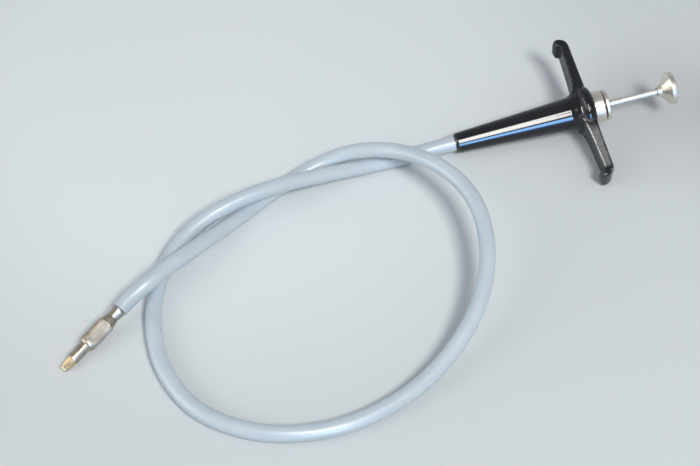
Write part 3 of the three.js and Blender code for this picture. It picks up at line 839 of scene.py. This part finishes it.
def collar():
    profile = [(BUSH_START, PASSAGE), (BUSH_START, SHANK)]
    profile += [(COLLAR_START, SHANK), (COLLAR_START, COLLAR)]
    for k in range(COLLAR_GROOVES):
        middle = COLLAR_START + 3.1 * (k + 0.8) / 3.4
        profile += [(middle - 0.1, COLLAR), (middle, COLLAR - 0.06), (middle + 0.1, COLLAR)]
    edge = COLLAR_END - COLLAR_ROUND
    profile += arc(edge, COLLAR - COLLAR_ROUND, COLLAR_ROUND, math.pi / 2, 0, 6)
    profile += [(COLLAR_END, CAVITY), (LOCK_END + 1.2, CAVITY), (LOCK_END + 1.2, RETAINER_SEAT)]
    profile += [(LOCK_END, RETAINER_SEAT), (LOCK_END, CAVITY)]
    profile += [(CAVITY_START, CAVITY), (CAVITY_START, PASSAGE)]
    return turned("collar", profile, HANDLE, NICKEL, 0.05)


def disc():
    nose = BUSH_START + 3.1
    rim = DISC - DISC_ROUND
    profile = [(nose, PASSAGE), (nose, LOCK_NOSE), (LOCK_START, LOCK_NOSE)]
    profile += [(LOCK_START, LOCK_HEAD), (LOCK_END, LOCK_HEAD), (LOCK_END, LOCK_NECK)]
    profile += [(DISC_START, LOCK_NECK), (DISC_START, rim)]
    profile += arc(DISC_START + DISC_ROUND, rim, DISC_ROUND, math.pi, math.pi / 2, 5)
    profile += arc(DISC_END - DISC_ROUND, rim, DISC_ROUND, math.pi / 2, 0, 5)
    profile += [(DISC_END, PASSAGE)]
    return turned("disc", profile, HANDLE, NICKEL, 0.06)


def rod():
    """The rod, a little thicker where it shows between the disc and the button."""
    start = BUSH_START - 1.8
    profile = [(start, 0), (start, ROD), (DISC_END - 1, ROD), (DISC_END - 0.8, ROD_SEEN)]
    profile += [(BUTTON_START - 0.2, ROD_SEEN), (BUTTON_START, ROD), (ROD_END, ROD), (ROD_END, 0)]
    return turned("rod", profile, HANDLE, STEEL, 0.05, 48)


def button():
    """The trumpet-shaped button, with small rings round its neck and the rod's socket in it."""
    socket = ROD_END + CLEAR
    flare = BUTTON_START + 0.9
    profile = [(socket, 0), (socket, PASSAGE)]
    profile += [(BUTTON_START, PASSAGE), (BUTTON_START, BUTTON_NECK)]
    for k in range(NECK_RINGS):
        ring = BUTTON_START + 0.35 + 0.45 * k
        radius = BUTTON_NECK + 0.15 * k
        profile += [(ring - 0.08, radius), (ring, radius - 0.12), (ring + 0.08, radius + 0.03)]
    for k in range(5, 25):
        share = k / 24
        radius = BUTTON_NECK + (BUTTON - BUTTON_NECK) * share**BUTTON_FLARE
        profile.append((flare + (BUTTON_RIM - flare) * share, radius))
    edge = BUTTON_END - BUTTON_ROUND
    profile += arc(edge, BUTTON - BUTTON_ROUND, BUTTON_ROUND, math.pi / 2, 0, 6)
    profile.append((BUTTON_END, 0))
    return turned("button", profile, HANDLE, NICKEL, 0.06)


for piece, ride, node, slot in (
    (collar(), "handle", "end_bush", "nickel"),
    (disc(), "lock", "lock_disc", "nickel"),
    (rod(), "plunger", "plunger_rod", "steel"),
    (button(), "plunger", "plunger_button", "nickel"),
):
    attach(piece, ride)
    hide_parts(node)

# ---- Tip --------------------------------------------------------------------------------------
KNURL = 2.85
KNURL_DEPTH = 0.14
FLUTES = 32
KNURL_END = 15.7
NOSE = 1.95
NOSE_END = 22.0
THREAD_LENGTH = 4.2
THREAD_LARGE, THREAD_SMALL = 1.9, 1.37
THREAD_DEPTH = 0.2
PITCH = 0.5
TURNS = THREAD_LENGTH / PITCH
TURN_STEPS = 8
TIP_END = NOSE_END + THREAD_LENGTH
STEM, STEM_START, STEM_END = 1.6, 3.3, 11.5
STEM_BORE, CRIMP_BORE = 0.95, 1.65
RING_START, RING_END = 9.4, 10.8
SWIVEL_START, SWIVEL_END, SWIVEL_BORE = 3.6, 11.8, 1.9
PIN, PIN_START, PIN_END = 0.65, 6.7, 25.7


def ferrule():
    profile = [(0.3, CRIMP_BORE), (0.3, 2.3), (STEM_START, 1.95), (STEM_START, STEM)]
    profile += [(RING_START, STEM), (RING_START, 1.3), (RING_END, 1.3), (RING_END, STEM)]
    profile += [(STEM_END, STEM), (STEM_END, STEM_BORE), (2.1, STEM_BORE), (2.1, CRIMP_BORE)]
    return turned("ferrule", profile, TIP, WORN, 0.08)


def flute(depth):
    """The knurl's radius by angle, with straight grooves of a given depth."""
    def radius(angle):
        wave = 0.5 - 0.5 * math.cos(angle * FLUTES)
        return KNURL - depth * wave**2

    return radius


def thread(share):
    """The thread's radius by angle, at a share of its length. It fades out at both ends."""
    core = THREAD_LARGE + (THREAD_SMALL - THREAD_LARGE) * share
    fade = min(1.0, share * 12, (1 - share) * 10)

    def radius(angle):
        phase = (share * TURNS - angle / (2 * math.pi)) % 1
        return core - THREAD_DEPTH * (1 - fade * (1 - abs(phase - 0.5) * 2))

    return radius


def knurled_tip():
    """The swivel from its taper over the knurl, nose and thread to the bore and ring groove."""
    rings = [(SWIVEL_START, SWIVEL_BORE), (SWIVEL_START, 2.05), (3.7, 2.15), (3.85, 2.195)]
    rings += [(5.8, 2.63), (5.9, KNURL - 0.2)]
    for depth_share, station in (
        (0.0, 6.05), (0.5, 6.25), (1.0, 6.5), (1.0, KNURL_END - 1.5), (0.5, KNURL_END - 1.25),
    ):
        rings.append((station, flute(KNURL_DEPTH * depth_share)))
    rings += [(KNURL_END - 1.1, KNURL - 0.04), (KNURL_END - 0.5, KNURL - 0.13)]
    rings += [(KNURL_END - 0.2, KNURL - 0.24), (KNURL_END, KNURL - 0.5)]
    rings += [(KNURL_END, NOSE + 0.05), (KNURL_END + 0.05, NOSE), (KNURL_END + 0.2, NOSE)]
    rings += [(NOSE_END - 0.3, NOSE), (NOSE_END - 0.15, NOSE), (NOSE_END, NOSE - 0.08)]
    steps = int(TURNS * TURN_STEPS)
    for k in range(1, steps + 1):
        rings.append((NOSE_END + THREAD_LENGTH * k / steps, thread(k / steps)))
    rings += [(TIP_END, STEM_BORE), (SWIVEL_END, STEM_BORE), (SWIVEL_END, SWIVEL_BORE)]
    rings += [(RING_END, SWIVEL_BORE), (RING_END, 2.4), (RING_START, 2.4)]
    rings.append((RING_START, SWIVEL_BORE))
    verts, faces = rings_to_mesh(rings, 8 * FLUTES, False)
    piece = mesh_object("knurled_tip", verts, faces, WORN)
    smooth(piece, 40)
    settle(piece, TIP)
    return piece


def pin():
    profile = [(PIN_START, 0), (PIN_START, PIN), (PIN_END - 0.35, PIN)]
    profile += [(PIN_END, 0.33), (PIN_END, 0)]
    return turned("push_pin", profile, TIP, STEEL, 0.08, 48)


for piece, ride, node, slot in (
    (ferrule(), "handle", "tip_ferrule", "worn_nickel"),
    (knurled_tip(), "swivel", "tip_body", "worn_nickel"),
    (pin(), "pin", "tip_pin", "steel"),
):
    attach(piece, ride)
    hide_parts(node)

# ---- CAD nodes that stay ----------------------------------------------------------------------
KEPT = {
    "cable_socket": BRASS,
    "lock_retainer": INNER_STEEL,
    "lock_plate": INNER_STEEL,
    "lock_spring": INNER_STEEL,
    "piston": BRASS,
    "wire_head": BRASS,
    "return_spring": INNER_STEEL,
    "spring_seat": BRASS,
    "cable_conduit": INNER_STEEL,
    "core_wire": INNER_STEEL,
    "swivel_ring": INNER_STEEL,
}
for name, material in KEPT.items():
    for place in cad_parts[name].material_slots:
        place.material = material


# ---- Floor, lamps, world ----------------------------------------------------------------------
FLOOR_HALF = 1.5
LAMPS_AIM = Vector((-0.03, -0.03, 0))
PALE_WARM = (1.0, 0.98, 0.95)
WALLS, OVERHEAD = (0.60, 0.62, 0.65, 1), (0.36, 0.375, 0.40, 1)
OVERHEAD_FROM = 0.75


def add_floor():
    h = FLOOR_HALF
    mesh = bpy.data.meshes.new("floor")
    mesh.from_pydata([(-h, -h, 0), (h, -h, 0), (h, h, 0), (-h, h, 0)], [], [(0, 1, 2, 3)])
    mesh.materials.append(floor_paper_painted_light())
    floor = add_object("floor", mesh)


def add_lamp(name, direction, distance, size, power, colour, diffuse=True, glossy=True):
    """A rectangular lamp. One that isn't diffuse only shows in gloss, and the other way round."""
    data = bpy.data.lights.new(name, "AREA")
    data.shape = "RECTANGLE"
    data.size, data.size_y = size
    data.energy = power
    data.color = colour
    lamp = add_object(name, data)
    towards = Vector(direction).normalized()
    lamp.location = LAMPS_AIM + towards * distance
    point_along(lamp, -towards)
    lamp.visible_diffuse = diffuse
    lamp.visible_glossy = glossy


def add_world():
    """A plain room, paler towards its walls than overhead."""
    world = bpy.data.worlds.new("world")
    world.use_nodes = True
    tree = world.node_tree
    background = tree.nodes["Background"]
    place = tree.nodes.new("ShaderNodeTexCoord")
    split = tree.nodes.new("ShaderNodeSeparateXYZ")
    ramp = tree.nodes.new("ShaderNodeValToRGB")
    low, high = ramp.color_ramp.elements
    low.color = WALLS
    high.position = OVERHEAD_FROM
    high.color = OVERHEAD
    tree.links.new(place.outputs["Generated"], split.inputs[0])
    tree.links.new(split.outputs["Z"], ramp.inputs["Fac"])
    tree.links.new(ramp.outputs["Color"], background.inputs["Color"])
    background.inputs["Strength"].default_value = 1.0
    bpy.context.scene.world = world


add_floor()
add_lamp("key", (0.33, -0.64, 1.0), 1.2, (0.30, 0.30), 9.4, (1.0, 0.985, 0.96), glossy=False)
add_lamp("left", (-0.8, -0.3, 0.5), 1.2, (0.8, 0.6), 3.6, (0.96, 0.98, 1.0))
for name, direction, distance, size, power, colour in (
    ("key_glow", (0.33, -0.64, 1.0), 1.19, (0.20, 0.24), 1.1, PALE_WARM),
    ("overhead", (0.03, -0.42, 0.90), 1.0, (0.18, 0.33), 4.1, PALE_WARM),
    ("upper_front", (0.115, -0.655, 0.747), 1.0, (0.18, 0.31), 3.8, PALE_WARM),
    ("window", (0.22, -0.92, 0.32), 0.9, (0.30, 0.32), 7.0, (0.26, 0.54, 1.0)),
    ("low_sky", (0.22, -0.96, 0.08), 0.9, (0.30, 0.16), 0.7, (0.10, 0.30, 1.0)),
    ("left_wall", (-1.0, -0.1, 0.16), 1.2, (1.2, 0.5), 5.5, (1.0, 0.97, 0.92)),
):
    add_lamp(name, direction, distance, size, power, colour, diffuse=False)
add_world()
bpy.context.scene.view_settings.view_transform = "Standard"
